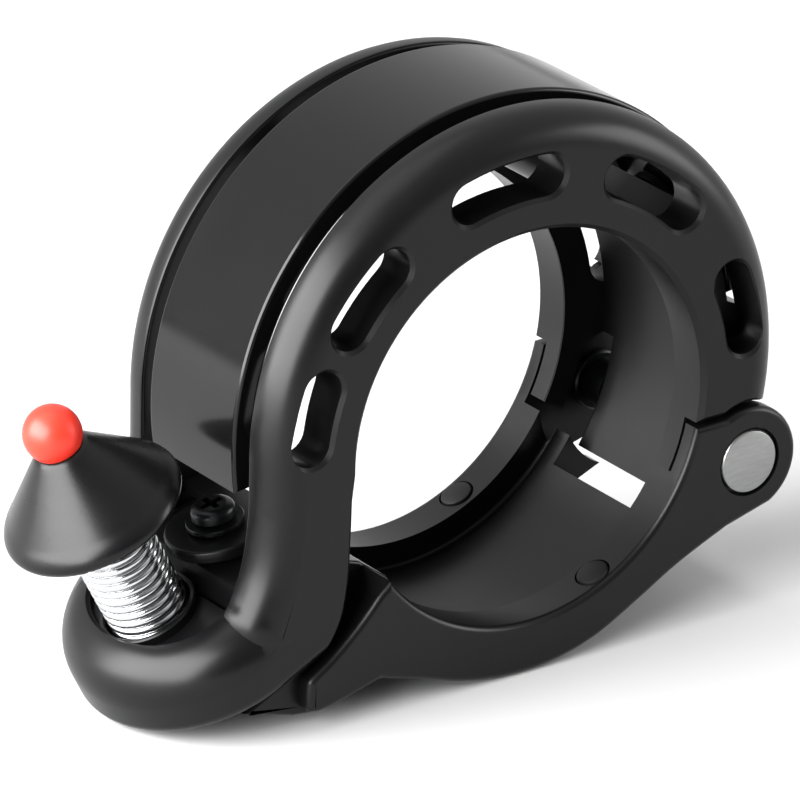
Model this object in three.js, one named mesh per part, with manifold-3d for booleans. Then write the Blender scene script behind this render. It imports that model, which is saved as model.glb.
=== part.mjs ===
// Ring-shaped bicycle bell: a sprung striker on a foot, a C-shaped sounding band between two
// slotted cheeks, and a clamp arm that swings on a pin and closes round the handlebar.
// Millimetres. +Y runs along the handlebar, +Z is up, the origin is the middle of the bore.
import * as THREE from 'three';
import { mergeVertices } from 'three/addons/utils/BufferGeometryUtils.js';
import Module from 'manifold-3d';

const wasm = await Module();
wasm.setup();

// ---- driving dimensions ----------------------------------------------------------------
const GAP = 0.3; // play between touching pieces
const HALF_WIDTH = 11.05; // frame, from the middle plane to a cheek's outer face
const CHEEK_THICKNESS = 3.65;
const CHEEK_INNER = HALF_WIDTH - CHEEK_THICKNESS;
const EDGE_RADIUS = 2.4; // rounding of the cheeks' outer edge
const FOOT_EDGE_RADIUS = 1.4;
const BORE_RADIUS = 16; // for a 31.8 mm handlebar
const RING_CENTRE = [0.16, 1.57]; // middle of the band and of the cheeks' outer arcs, X and Z
const CHEEK_RADIUS = 23.6;
const BAND_RADIUS = 23.9;
const BAND_WALL = 1.8;
const BAND_HALF_WIDTH = 5.8;
const BAND_FROM = 7; // degrees round the ring centre, from +X
const BAND_TO = 187.3;
const BAND_FIXING_ANGLE = 24;

const PIN = [20.6, -7.7]; // hinge axis, X and Z
const PIN_RADIUS = 1.2;
const PIN_HEAD_RADIUS = 2.6;
const PIN_HEAD_THICKNESS = 0.6;
const EAR_RADIUS = 4.5;
const EAR_INNER = 9.5; // the arm's ears are thin plates outside the frame's tongues
const HINGE_SWING_RADIUS = 6.9; // room round the pin for the tongues, inside the ears
const BLOCK_SWING_RADIUS = 5.85; // the same for the narrower block
const BLOCK_HALF_WIDTH = 6.1;
const BLOCK_INNER_RADIUS = 19.9;
const BLOCK_END_ANGLE = -34.5;
const TONGUE_RADIUS = 18;
const TONGUE_END_ANGLE = -28;

const SLOT_RADIUS = 20.35;
const SLOT_WIDTH = 3.4;
const SLOTS = [ // middle and half span, degrees round the bore
  [164.7, 5.9],
  [136.6, 7.6],
  [96.2, 9.8],
  [56, 9.7],
  [15.4, 6.7],
];

const SEAT = [-27.95, -11.6]; // middle of the spring's seat in the foot, X and Z
const LEAN = 26.7; // degrees, the striker's lean away from the band
const FOOT_PLAN_OFFSET = 2.7; // the foot's oval end is centred this far towards the band
const FOOT_LENGTH = 9.92; // half length of that oval, along the seat
const FOOT_DEPTH = 6.2;
const RIM_HEIGHT = 0.3;
const FLOOR_HEIGHT = -0.9;
const SOCKET_DEPTH = 2.4;
const ARM_SWEEP_RADIUS = 45.2; // the foot's core stays outside this circle round the pin

const SPRING_RADIUS = 3.25;
const SPRING_WIRE = 0.7;
const SPRING_BOTTOM = -2.1;
const SPRING_TOP = 11.1;
const CONE_RADIUS = 7.2;
const CONE_BOTTOM = 9.7;
const CONE_RIM_HEIGHT = 1.5;
const CONE_APEX = 18.85;
const CONE_TOP = 16.5;
const BALL_RADIUS = 2.28;
const BALL_HEIGHT = 17.95;
const STEM_RADIUS = 0.8;

const TAB = [-21.56, -6.5]; // where the clamp screw's axis meets the frame's tab, X and Z
const TAB_LEAN = 13;
const TAB_RADIUS = 4.1;
const TAB_THICKNESS = 1;
const TOE_TOP = -6.6; // of the arm's toe, from the foot's seat
const TOE_HALF_WIDTH = 9.6;
const ARM_TAB_TOP = -1.6;
const ARM_TAB_BOTTOM = -2.9;
const SCREW_RADIUS = 1.15;
const SCREW_TIP = -4.7;
const SCREW_HEAD_RADIUS = 1.75;
const NUT_WIDTH = 4.2;

const COVER_SCREW_RADIUS = 0.9;
const COVER_SCREW_TIP = 3.6;
const COVER_HEAD_RADIUS = 1.6;
const COVER_HEAD_DEPTH = 1.2;
const PILLAR_RADIUS = 2;

// ---- materials -------------------------------------------------------------------------
const material = (color, roughness, metalness) => new THREE.MeshStandardMaterial({ color, roughness, metalness });
const framePlastic = () => material(0x1b1c1e, 0.45, 0);
const bandPaint = () => material(0x121314, 0.18, 0.1);
const steel = () => material(0xb9bbbd, 0.35, 1);
const blackSteel = () => material(0x2a2b2d, 0.35, 0.9);
const rubber = () => material(0x151515, 0.85, 0);
const redPlastic = () => material(0xd8251d, 0.35, 0);

// ---- solids ----------------------------------------------------------------------------
const radians = (degrees) => (degrees * Math.PI) / 180;

function solid(geometry) {
  geometry.deleteAttribute('normal');
  geometry.deleteAttribute('uv');
  const merged = mergeVertices(geometry, 1e-5);
  return new wasm.Manifold(new wasm.Mesh({
    numProp: 3,
    vertProperties: new Float32Array(merged.attributes.position.array),
    triVerts: new Uint32Array(merged.index.array),
  }));
}

function mesh(name, body, finish) {
  const { vertProperties, triVerts } = body.getMesh();
  const geometry = new THREE.BufferGeometry();
  geometry.setAttribute('position', new THREE.BufferAttribute(vertProperties, 3));
  geometry.setIndex(new THREE.BufferAttribute(triVerts, 1));
  geometry.computeVertexNormals();
  const result = new THREE.Mesh(geometry, finish);
  result.name = name;
  return result;
}

const join = (...bodies) => bodies.reduce((sum, body) => sum.add(body));
const cut = (body, ...tools) => tools.reduce((rest, tool) => rest.subtract(tool), body);

// Points of an arc in the XZ plane, with a step of at most `step` degrees.
function arc([cx, cz], radius, from, to, step = 5) {
  const count = Math.max(2, Math.ceil(Math.abs(to - from) / step));
  return Array.from({ length: count + 1 }, (_, i) => {
    const angle = radians(from + ((to - from) * i) / count);
    return new THREE.Vector2(cx + radius * Math.cos(angle), cz + radius * Math.sin(angle));
  });
}

const points = (list) => list.map(([x, z]) => new THREE.Vector2(x, z));
const smooth = (list, count) => new THREE.SplineCurve(points(list)).getPoints(count);

// A side outline, X and Z, made solid between two values of Y. A bevel rounds both rims
// inside the outline.
function slab(outline, fromY, toY, bevel = 0) {
  const geometry = new THREE.ExtrudeGeometry(new THREE.Shape(outline), {
    depth: toY - fromY - 2 * bevel,
    bevelEnabled: bevel > 0,
    bevelThickness: bevel,
    bevelSize: bevel,
    bevelOffset: -bevel,
    bevelSegments: 3,
    curveSegments: 1,
  });
  geometry.rotateX(Math.PI / 2);
  geometry.translate(0, toY - bevel, 0);
  return solid(geometry);
}

function rodY([x, z], radius, fromY, toY, sides = 32) {
  const geometry = new THREE.CylinderGeometry(radius, radius, toY - fromY, sides);
  geometry.translate(x, (fromY + toY) / 2, z);
  return solid(geometry);
}

// Turns a local solid's +Z by `lean` degrees towards -X and moves its origin to [x, z].
function place(geometry, [x, z], lean) {
  geometry.rotateY(radians(-lean));
  geometry.translate(x, 0, z);
  return solid(geometry);
}

// Local shapes, with +Z as their axis.
function turned(profile, sides = 32) {
  const geometry = new THREE.LatheGeometry(profile.map(([r, z]) => new THREE.Vector2(r, z)), sides);
  return geometry.rotateX(Math.PI / 2);
}

const rod = (radius, bottom, top, sides = 32) => turned([[0, bottom], [radius, bottom], [radius, top], [0, top]], sides);

const tube = (inner, outer, bottom, top, sides = 32) => turned(
  [[inner, bottom], [outer, bottom], [outer, top], [inner, top], [inner, bottom]], sides);

function block([x0, x1], [y0, y1], [z0, z1]) {
  const geometry = new THREE.BoxGeometry(x1 - x0, y1 - y0, z1 - z0);
  return geometry.translate((x0 + x1) / 2, (y0 + y1) / 2, (z0 + z1) / 2);
}

function prism(outline, bottom, top) {
  const geometry = new THREE.ExtrudeGeometry(new THREE.Shape(outline),
    { depth: top - bottom, bevelEnabled: false, curveSegments: 1 });
  return geometry.translate(0, 0, bottom);
}

// X and Z of a point given along and above the foot's leaning seat.
function footPoint(along, above) {
  const c = Math.cos(radians(LEAN));
  const s = Math.sin(radians(LEAN));
  return [SEAT[0] + along * c - above * s, SEAT[1] + along * s + above * c];
}

// ---- frame -----------------------------------------------------------------------------
// Side outline of the left leg and the foot's hook. What lies inside the bore is cut away later.
function legOutline() {
  return [
    ...points([[0, 10], [-21.5, 10]]),
    ...arc(RING_CENTRE, CHEEK_RADIUS, 165, 180),
    ...smooth([[-23.5, -2], [-23.9, -5], [-24.5, -7.2], [-25.5, -9.3], footPoint(0.6, RIM_HEIGHT)], 12),
    ...smooth([
      footPoint(-3.3, RIM_HEIGHT), footPoint(-5.3, -0.3), footPoint(-6.7, -1.5), footPoint(-7.2, -3.4),
      footPoint(-6.8, -5), footPoint(-5.4, -6), footPoint(-3.4, -FOOT_DEPTH),
    ], 18),
    ...points([footPoint(6.2, -FOOT_DEPTH), [-10, -12], [0, -12]]),
  ];
}

// Everything on the bore's side of a cheek: the bore, the space of the clamp arm and the
// hollow round the arm's ear.
function boreSideOutline() {
  const lipAngle = THREE.MathUtils.radToDeg(Math.asin(-3.35 / BORE_RADIUS));
  return [
    ...arc([0, 0], BORE_RADIUS, lipAngle, 180, 4),
    ...smooth([
      [-16.3, -2], [-16.45, -5], [-16.7, -8.5], [-17.4, -11.6], [-18.9, -13.9], [-21, -15.4], [-24, -17.4],
    ], 16),
    ...points([[-24, -32], [32, -32], [32, -3.35]]),
    ...arc(PIN, EAR_RADIUS + 0.45, 60, 118, 6),
  ];
}

function slotOutline([middle, half]) {
  const width = SLOT_WIDTH / 2;
  const end = (angle) => [SLOT_RADIUS * Math.cos(radians(angle)), SLOT_RADIUS * Math.sin(radians(angle))];
  const from = middle - half;
  const to = middle + half;
  return [
    ...arc([0, 0], SLOT_RADIUS + width, from, to),
    ...arc(end(to), width, to, to + 180, 22.5).slice(1, -1),
    ...arc([0, 0], SLOT_RADIUS - width, to, from),
    ...arc(end(from), width, from + 180, from + 360, 22.5).slice(1, -1),
  ];
}

function roundedFrameBlank() {
  const ring = slab(arc(RING_CENTRE, CHEEK_RADIUS, 0, 355), -HALF_WIDTH, HALF_WIDTH, EDGE_RADIUS);
  const blank = ring.add(slab(legOutline(), -HALF_WIDTH, HALF_WIDTH, FOOT_EDGE_RADIUS));
  const oval = rod(HALF_WIDTH, -20, 20, 72).scale(FOOT_LENGTH / HALF_WIDTH, 1, 1);
  const roundEnd = place(oval.translate(FOOT_PLAN_OFFSET, 0, 0), SEAT, LEAN);
  const rest = place(block([FOOT_PLAN_OFFSET, 80], [-20, 20], [-60, 60]), SEAT, LEAN);
  return blank.intersect(roundEnd.add(rest));
}

// The lap behind the arm's ear: a thin tongue that carries the bore's lip on downwards.
function hingeTongue(fromY, toY) {
  return slab([
    ...arc([0, 0], BORE_RADIUS, TONGUE_END_ANGLE, -8, 4),
    ...arc([0, 0], TONGUE_RADIUS, -8, TONGUE_END_ANGLE, 4),
  ], fromY, toY);
}

function cheek(blank, fromY, toY) {
  const plate = blank.intersect(solid(block([-60, 60], [fromY, toY], [-60, 60])));
  const slots = SLOTS.map((slot) => slab(slotOutline(slot), -20, 20));
  return cut(plate, slab(boreSideOutline(), -20, 20), ...slots);
}

function dish() {
  const plan = [];
  for (let angle = 90; angle <= 270; angle += 9) {
    plan.push(new THREE.Vector2(1.5 + 5.1 * Math.cos(radians(angle)), 7.05 * Math.sin(radians(angle))));
  }
  plan.push(new THREE.Vector2(12, -7.05), new THREE.Vector2(12, 7.05));
  return place(prism(plan, FLOOR_HEIGHT, 30), SEAT, LEAN);
}

// The foot between the cheeks: a thick floor with the spring's socket and a raised collar.
function footCore(blank) {
  const body = blank.intersect(solid(block([-60, -20], [-CHEEK_INNER - 0.1, CHEEK_INNER - GAP], [-60, 0])));
  const armSweep = rodY(PIN, ARM_SWEEP_RADIUS, -20, 20, 120);
  return cut(body, armSweep);
}

function collar() {
  const ring = place(tube(SPRING_RADIUS + 0.25, SPRING_RADIUS + 0.7, FLOOR_HEIGHT - 0.2, -0.1), SEAT, LEAN);
  const leftHalf = place(block([-10, 1.2], [-10, 10], [-5, 5]), SEAT, LEAN);
  return ring.intersect(leftHalf);
}

function tabPlate(left, right, bottom, top, halfWidth) {
  const plan = [
    ...arc([left + halfWidth, 0], halfWidth, 90, 270, 9),
    ...points([[right, -halfWidth], [right, halfWidth]]),
  ];
  return place(prism(plan, bottom, top), TAB, TAB_LEAN);
}

// Screw tab of the frame, with wings that tie it to the cheeks.
function frameTab() {
  const tongue = tabPlate(-TAB_RADIUS, 4.4, -TAB_THICKNESS, 0, TAB_RADIUS);
  const wings = place(block([1.9, 4.4], [-CHEEK_INNER - 0.1, CHEEK_INNER - GAP], [-TAB_THICKNESS, 0]), TAB, TAB_LEAN);
  const hole = place(rod(SCREW_RADIUS + 0.35, -5, 5), TAB, TAB_LEAN);
  return cut(join(tongue, wings), hole);
}

// Block between the cheeks at the hinge: it carries the pin, ties the cheeks together and
// runs up inside the band as the saddle that the band is screwed to.
function hingeBlock() {
  const end = radians(BLOCK_END_ANGLE);
  const finger = BLOCK_INNER_RADIUS + 1.3;
  const body = slab([
    ...arc([0, 0], BLOCK_INNER_RADIUS, BLOCK_END_ANGLE, 34, 4),
    ...arc(RING_CENTRE, 20.9, 33, 8),
    ...arc(RING_CENTRE, CHEEK_RADIUS - 0.6, 4.6, -10),
    ...arc(PIN, 4.1, 40, -118, 8),
    new THREE.Vector2(finger * Math.cos(end), finger * Math.sin(end)),
  ], -BLOCK_HALF_WIDTH, BLOCK_HALF_WIDTH);
  const bridge = slab([
    ...arc([0, 0], BLOCK_INNER_RADIUS, -8, 33, 4),
    ...arc(RING_CENTRE, 20.85, 32, 8),
    ...arc(RING_CENTRE, CHEEK_RADIUS - 0.6, 4.5, -10),
  ], -CHEEK_INNER - 0.1, CHEEK_INNER - GAP);
  return join(body, bridge);
}

const bandAngle = radians(BAND_FIXING_ANGLE);

// Turns a local solid's +Z to point outwards through the band's fixing hole.
function placeAtBandFixing(geometry) {
  geometry.rotateY(Math.PI / 2 - bandAngle);
  geometry.translate(RING_CENTRE[0], 0, RING_CENTRE[1]);
  return solid(geometry);
}

const PILLARS = [116.5, 76].map((angle) => [19.9 * Math.cos(radians(angle)), 19.9 * Math.sin(radians(angle))]);
const COVER_SCREWS = [[21.9, 0.1], footPoint(1.2, -3.2), ...PILLARS];

function frontFrame(blank) {
  const pillars = PILLARS.map((at) => rodY(at, PILLAR_RADIUS, -CHEEK_INNER - 0.1, CHEEK_INNER - GAP, 24));
  const body = join(
    cheek(blank, -HALF_WIDTH - 1, -CHEEK_INNER),
    footCore(blank),
    frameTab(),
    hingeBlock(),
    hingeTongue(-EAR_INNER + GAP, -CHEEK_INNER),
    ...pillars,
  );
  const pilotHoles = COVER_SCREWS.map((at) => rodY(at, COVER_SCREW_RADIUS + 0.25, COVER_SCREW_TIP - 0.4, 20, 20));
  return cut(
    body,
    dish(),
    place(rod(SPRING_RADIUS + 0.25, -SOCKET_DEPTH, 5), SEAT, LEAN),
    place(rod(1.2, -20, 0, 20), SEAT, LEAN),
    place(rod(2.3, -20, -5), SEAT, LEAN),
    rodY(PIN, PIN_RADIUS + 0.2, -8, 8),
    placeAtBandFixing(rod(1.3, 10, 30, 20)),
    ...pilotHoles,
  ).add(collar());
}

function rearCover(blank) {
  const body = join(
    cheek(blank, CHEEK_INNER, HALF_WIDTH + 1),
    hingeTongue(CHEEK_INNER, EAR_INNER - GAP),
  );
  const holes = COVER_SCREWS.map((at) => join(
    rodY(at, COVER_SCREW_RADIUS + 0.25, 0, 20, 20),
    rodY(at, COVER_HEAD_RADIUS + 0.25, HALF_WIDTH - COVER_HEAD_DEPTH - 0.2, 20),
  ));
  return cut(body, dish(), ...holes);
}

function coverScrew(at) {
  const headBase = HALF_WIDTH - COVER_HEAD_DEPTH;
  const recess = join(...[0, Math.PI / 2].map((turn) => {
    const bar = new THREE.BoxGeometry(1.7, 0.7, 0.4);
    return solid(bar.rotateY(turn).translate(at[0], HALF_WIDTH - 0.1, at[1]));
  }));
  return cut(join(
    rodY(at, COVER_HEAD_RADIUS, headBase, HALF_WIDTH - 0.15, 28),
    rodY(at, COVER_SCREW_RADIUS, COVER_SCREW_TIP, headBase + 0.1, 20),
  ), recess);
}

// ---- sounding band and its fixing --------------------------------------------------------
function bellBand() {
  const body = slab([
    ...arc(RING_CENTRE, BAND_RADIUS, BAND_FROM, BAND_TO, 3),
    ...arc(RING_CENTRE, BAND_RADIUS - BAND_WALL, BAND_TO, BAND_FROM, 3),
  ], -BAND_HALF_WIDTH, BAND_HALF_WIDTH);
  return cut(body, placeAtBandFixing(rod(1.6, 15, 30, 20)));
}

const bandGrommet = () => placeAtBandFixing(tube(1.4, 3, 21.1, BAND_RADIUS - BAND_WALL - 0.3, 28));

function bandScrew() {
  const head = placeAtBandFixing(turned([
    [0, 24.1], [2.2, 24.1], [2.2, 24.6], [1.7, 25.1], [0, 25.1],
  ], 28));
  const slot = placeAtBandFixing(block([-0.3, 0.3], [-3, 3], [24.7, 26]));
  return cut(head.add(placeAtBandFixing(rod(1, 20.1, 24.2, 20))), slot);
}

// ---- hinge -----------------------------------------------------------------------------
function hingePin() {
  const headBack = -HALF_WIDTH + PIN_HEAD_THICKNESS;
  return join(
    rodY(PIN, PIN_HEAD_RADIUS, -HALF_WIDTH, headBack, 40),
    rodY(PIN, PIN_RADIUS, headBack - 0.1, HALF_WIDTH - PIN_HEAD_THICKNESS - 0.2, 28),
  );
}

const pinCap = () => rodY(PIN, PIN_HEAD_RADIUS, HALF_WIDTH - PIN_HEAD_THICKNESS, HALF_WIDTH, 40);

// Flanged spacer between the frame's block and an ear; side is -1 in front and 1 at the rear.
function hingeSpacer(side) {
  const span = (near, far) => (side < 0 ? [-far, -near] : [near, far]);
  const sleeve = rodY(PIN, 1.95, ...span(BLOCK_HALF_WIDTH + 0.2, EAR_INNER - 0.25), 28);
  const flange = rodY(PIN, 2.45, ...span(8.7, EAR_INNER - 0.25), 32);
  return cut(sleeve.add(flange), rodY(PIN, PIN_RADIUS + 0.2, -20, 20, 28));
}

// ---- clamp arm ---------------------------------------------------------------------------
function armOutline() {
  const lip = -3.75;
  const lipAngle = THREE.MathUtils.radToDeg(Math.asin(lip / BORE_RADIUS));
  return [
    ...arc(PIN, EAR_RADIUS, 118, -62, 8),
    ...smooth([
      [18.6, -12.8], [14, -14.8], [10, -17], [6, -19], [2, -20], [-2, -20.15], [-6, -19.6], [-10, -18.4],
      [-13.9, -17.3],
    ], 28),
    ...smooth([
      [-16.5, -18], [-18.6, -18.5], [-20.1, -18.2], [-20.45, -17.2], [-20.1, -15.75], [-18.3, -14.45],
      [-15.9, -12.4], [-13.9, -10.3],
    ], 16),
    ...arc([0, 0], BORE_RADIUS, -143.8, lipAngle, 4),
  ];
}

// The arm's narrow end between the cheeks.
function armTongueOutline() {
  const reach = ARM_SWEEP_RADIUS - 0.5;
  const at = (along, above) => {
    const c = Math.cos(radians(TAB_LEAN));
    const s = Math.sin(radians(TAB_LEAN));
    return [TAB[0] + along * c - above * s, TAB[1] + along * s + above * c];
  };
  return [
    ...points([[-10, -14], [-10, -11.5], [-13.2, -9.1], [-16.4, -8.1], at(2.2, ARM_TAB_TOP), at(-2.7, ARM_TAB_TOP)]),
    ...arc(PIN, reach, 181.35, 189.6, 1.2),
    ...points([[-22.4, -17.2], [-12, -17.2]]),
  ];
}

// The toe that lies under the foot when the bell is clamped.
function armToe() {
  return slab([
    ...points([footPoint(7, TOE_TOP), footPoint(-0.2, TOE_TOP)]),
    ...points([[-25.45, -17.75], [-24.9, -18], [-22.9, -18.5], [-20.9, -19.05], [-18.9, -19.3], [-16.4, -19]]),
    ...points([[-12, -17.9], [-12, -14.2]]),
  ], -TOE_HALF_WIDTH, TOE_HALF_WIDTH);
}

function armPocket() {
  const channel = slab([
    ...arc([0, 0], BORE_RADIUS + 2.2, -128, -15, 5),
    new THREE.Vector2(12, 4),
    new THREE.Vector2(-8, 4),
  ], -CHEEK_INNER, CHEEK_INNER);
  const tonguePocket = slab(points([
    [-8, -11], [-13, -10.9], [-17.3, -9.6], [-22.4, -10.6], [-21.7, -16.9], [-14, -15.7], [-8, -16],
  ]), -5.6, 5.6);
  const hingeRoom = rodY(PIN, BLOCK_SWING_RADIUS, -EAR_INNER, EAR_INNER, 48);
  const tongueRooms = [-1, 1].map((side) => {
    const ends = [side * (CHEEK_INNER - 0.2), side * EAR_INNER].sort((a, b) => a - b);
    return rodY(PIN, HINGE_SWING_RADIUS, ...ends, 48);
  });
  const window = slab([[16, -30], [25, -35], [25, -40.3], [18.2, -41.5], [16, -41.5]].map(([radius, angle]) => (
    new THREE.Vector2(radius * Math.cos(radians(angle)), radius * Math.sin(radians(angle)))
  )), -5.25, 5.4);
  return [channel, tonguePocket, hingeRoom, ...tongueRooms, window];
}

const GRIP_ANGLE = radians(-64);

// Turns a local solid's +Z to point at the bore's axis from the arm's lip.
function placeInLip(geometry, y) {
  geometry.rotateY(Math.PI / 2 - GRIP_ANGLE);
  geometry.translate(0, y, 0);
  return solid(geometry);
}

function clampArm() {
  const plates = slab(armOutline(), -HALF_WIDTH, HALF_WIDTH, 0.5);
  const tongue = slab(armTongueOutline(), -CHEEK_INNER + GAP, CHEEK_INNER - GAP);
  const screwSlot = place(prism([
    ...arc([0, 0], 1.6, 90, 270, 15),
    ...arc([1.6, 0], 1.6, -90, 90, 15),
  ], ARM_TAB_BOTTOM - 1, ARM_TAB_TOP + 1), TAB, TAB_LEAN);
  const nutPocket = place(block([-2.4, 2.4], [-2.4, 2.4], [-5.5, ARM_TAB_BOTTOM]), TAB, TAB_LEAN);
  const gripHoles = [-9.2, 9.2].map((y) => placeInLip(rod(1.5, 15, 17.6, 24), y));
  const seats = [
    rodY(PIN, PIN_RADIUS + 0.25, -20, 20, 28),
    rodY(PIN, PIN_HEAD_RADIUS + 0.25, -20, -HALF_WIDTH + PIN_HEAD_THICKNESS + 0.2, 40),
    rodY(PIN, PIN_HEAD_RADIUS + 0.25, HALF_WIDTH - PIN_HEAD_THICKNESS - 0.2, 20, 40),
  ];
  return cut(join(plates, tongue, armToe()), ...armPocket(), screwSlot, nutPocket, ...gripHoles, ...seats);
}

const gripPlug = (y) => placeInLip(rod(1.3, 15.75, 17.4, 24), y);

// ---- clamp screw, washer and nut, modelled along the screw's axis -------------------------
function clampScrew() {
  const head = solid(turned([[0, 0.8], [SCREW_HEAD_RADIUS, 0.8], [SCREW_HEAD_RADIUS, 1.5], [1.35, 1.9], [0, 1.9]], 28));
  const shank = solid(rod(SCREW_RADIUS, SCREW_TIP, 0.9, 24));
  const recess = join(...[0, 1].map((turn) => {
    const bar = new THREE.BoxGeometry(2.1, 0.5, 1.2);
    return solid(bar.rotateZ((turn * Math.PI) / 2).translate(0, 0, 2));
  }));
  return cut(head.add(shank), recess);
}

const clampWasher = () => solid(tube(SCREW_RADIUS + 0.25, 2.3, 0.2, 0.6, 28));

function clampNut() {
  const half = NUT_WIDTH / 2;
  const body = solid(block([-half, half], [-half, half], [SCREW_TIP, ARM_TAB_BOTTOM - 0.25]));
  return cut(body, solid(rod(SCREW_RADIUS + 0.55, -6, 0, 24)));
}

// ---- striker, modelled along its own axis from the spring's seat --------------------------
const springInner = SPRING_RADIUS - SPRING_WIRE;

const springAnchor = () => cut(
  solid(turned([[0, -2.1], [springInner - 0.25, -2.1], [springInner - 0.25, 1.6], [1.6, 2.2], [0, 2.2]], 28)),
  solid(rod(1.15, -5, 0.6, 20)),
);

const anchorScrew = () => join(
  solid(rod(2, -FOOT_DEPTH + 0.2, -5.2, 28)),
  solid(rod(0.9, -5.3, 0.3, 20)),
);

const strikerSpring = () => solid(tube(springInner, SPRING_RADIUS, SPRING_BOTTOM, SPRING_TOP, 28));

function strikerCone() {
  const slope = CONE_RADIUS / (CONE_APEX - CONE_BOTTOM - CONE_RIM_HEIGHT + 0.4);
  const radiusAt = (height) => slope * (CONE_APEX - height);
  const rimTop = CONE_BOTTOM + CONE_RIM_HEIGHT;
  const recess = SPRING_RADIUS + 0.25;
  const body = solid(turned([
    [0, SPRING_TOP + 0.3], [recess, SPRING_TOP + 0.3], [recess, CONE_BOTTOM], [6.7, CONE_BOTTOM], [7.05, CONE_BOTTOM + 0.2],
    [CONE_RADIUS, CONE_BOTTOM + 0.6], [CONE_RADIUS, rimTop - 0.5], [7.0, rimTop - 0.15], [radiusAt(rimTop + 0.3), rimTop + 0.3],
    [radiusAt(CONE_TOP), CONE_TOP], [0, CONE_TOP],
  ], 40));
  const ballSeat = solid(new THREE.SphereGeometry(BALL_RADIUS + 0.15, 24, 12).translate(0, 0, BALL_HEIGHT));
  return cut(body, ballSeat, solid(rod(STEM_RADIUS + 0.25, 5, 20, 20)));
}

const strikerBall = () => cut(
  solid(new THREE.SphereGeometry(BALL_RADIUS, 24, 14).rotateX(Math.PI / 2).translate(0, 0, BALL_HEIGHT)),
  solid(rod(STEM_RADIUS + 0.2, 10, BALL_HEIGHT + 0.6, 20)),
);

// Plug in the spring's upper turns with the stem that holds cone and ball.
const strikerStem = () => join(
  solid(rod(springInner - 0.25, 8.2, SPRING_TOP, 28)),
  solid(rod(STEM_RADIUS, 8.5, BALL_HEIGHT + 0.3, 20)),
);

// ---- assembly ----------------------------------------------------------------------------
const bell = new THREE.Group();
const blank = roundedFrameBlank();
bell.add(mesh('front_frame', frontFrame(blank), framePlastic()));
bell.add(mesh('rear_cover', rearCover(blank), framePlastic()));
COVER_SCREWS.forEach((at, i) => bell.add(mesh(`cover_screw_${i + 1}`, coverScrew(at), blackSteel())));
bell.add(mesh('bell_band', bellBand(), bandPaint()));
bell.add(mesh('band_grommet', bandGrommet(), rubber()));
bell.add(mesh('band_screw', bandScrew(), blackSteel()));
bell.add(mesh('hinge_pin', hingePin(), steel()));
bell.add(mesh('hinge_pin_cap', pinCap(), steel()));
bell.add(mesh('hinge_spacer_front', hingeSpacer(-1), steel()));
bell.add(mesh('hinge_spacer_rear', hingeSpacer(1), steel()));
bell.add(mesh('clamp_arm', clampArm(), framePlastic()));
bell.add(mesh('grip_plug_front', gripPlug(-9.2), rubber()));
bell.add(mesh('grip_plug_rear', gripPlug(9.2), rubber()));

const clamp = new THREE.Group();
clamp.position.set(TAB[0], 0, TAB[1]);
clamp.rotation.y = radians(-TAB_LEAN);
clamp.add(mesh('clamp_screw', clampScrew(), blackSteel()));
clamp.add(mesh('clamp_washer', clampWasher(), blackSteel()));
clamp.add(mesh('clamp_nut', clampNut(), steel()));
bell.add(clamp);

const striker = new THREE.Group();
striker.position.set(SEAT[0], 0, SEAT[1]);
striker.rotation.y = radians(-LEAN);
striker.add(mesh('spring_anchor', springAnchor(), steel()));
striker.add(mesh('anchor_screw', anchorScrew(), blackSteel()));
striker.add(mesh('striker_spring', strikerSpring(), steel()));
striker.add(mesh('striker_stem', strikerStem(), steel()));
striker.add(mesh('striker_cone', strikerCone(), framePlastic()));
striker.add(mesh('striker_ball', strikerBall(), redPlastic()));
bell.add(striker);

export default bell;
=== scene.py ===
import logging
import math
from dataclasses import dataclass
from enum import Enum

import bmesh
import bpy
import numpy as np
from mathutils import Matrix, Vector


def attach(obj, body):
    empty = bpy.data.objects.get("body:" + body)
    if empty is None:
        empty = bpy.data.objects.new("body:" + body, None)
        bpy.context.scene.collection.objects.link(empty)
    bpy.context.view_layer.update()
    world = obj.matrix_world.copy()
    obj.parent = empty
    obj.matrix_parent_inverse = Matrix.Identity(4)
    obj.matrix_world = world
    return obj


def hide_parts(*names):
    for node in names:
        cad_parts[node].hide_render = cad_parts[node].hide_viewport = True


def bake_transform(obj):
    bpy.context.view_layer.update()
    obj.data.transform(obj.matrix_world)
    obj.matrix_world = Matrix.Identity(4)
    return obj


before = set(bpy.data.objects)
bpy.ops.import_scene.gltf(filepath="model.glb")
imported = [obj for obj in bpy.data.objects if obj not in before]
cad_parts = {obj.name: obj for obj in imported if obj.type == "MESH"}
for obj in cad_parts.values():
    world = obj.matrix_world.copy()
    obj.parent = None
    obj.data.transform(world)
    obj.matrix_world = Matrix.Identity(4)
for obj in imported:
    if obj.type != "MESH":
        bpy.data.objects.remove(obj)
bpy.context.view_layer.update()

MM = 0.001
POLE_RADIUS = 1e-6
SHARP_EDGE = math.radians(34)
PLASTIC_IOR = 1.5
LOG = logging.getLogger("bell")

Point = tuple[float, float]
Outline = list[Point]
Object = bpy.types.Object
Material = bpy.types.Material
Tree = bpy.types.NodeTree


class Body(Enum):
    """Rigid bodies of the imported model."""

    FRAME = "frame"
    ARM = "arm"
    WASHER = "washer"
    SCREW = "screw"
    STRIKER = "striker"


class Cut(Enum):
    """What a boolean step does with its tool."""

    ADD = "UNION"
    REMOVE = "DIFFERENCE"


Step = tuple[Cut, Object]


# ---- outlines, in millimetres ----


def polar(centre: Point, radius: float, degrees: float) -> Point:
    """The point at an angle round a centre."""
    angle = math.radians(degrees)
    return centre[0] + radius * math.cos(angle), centre[1] + radius * math.sin(angle)


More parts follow.
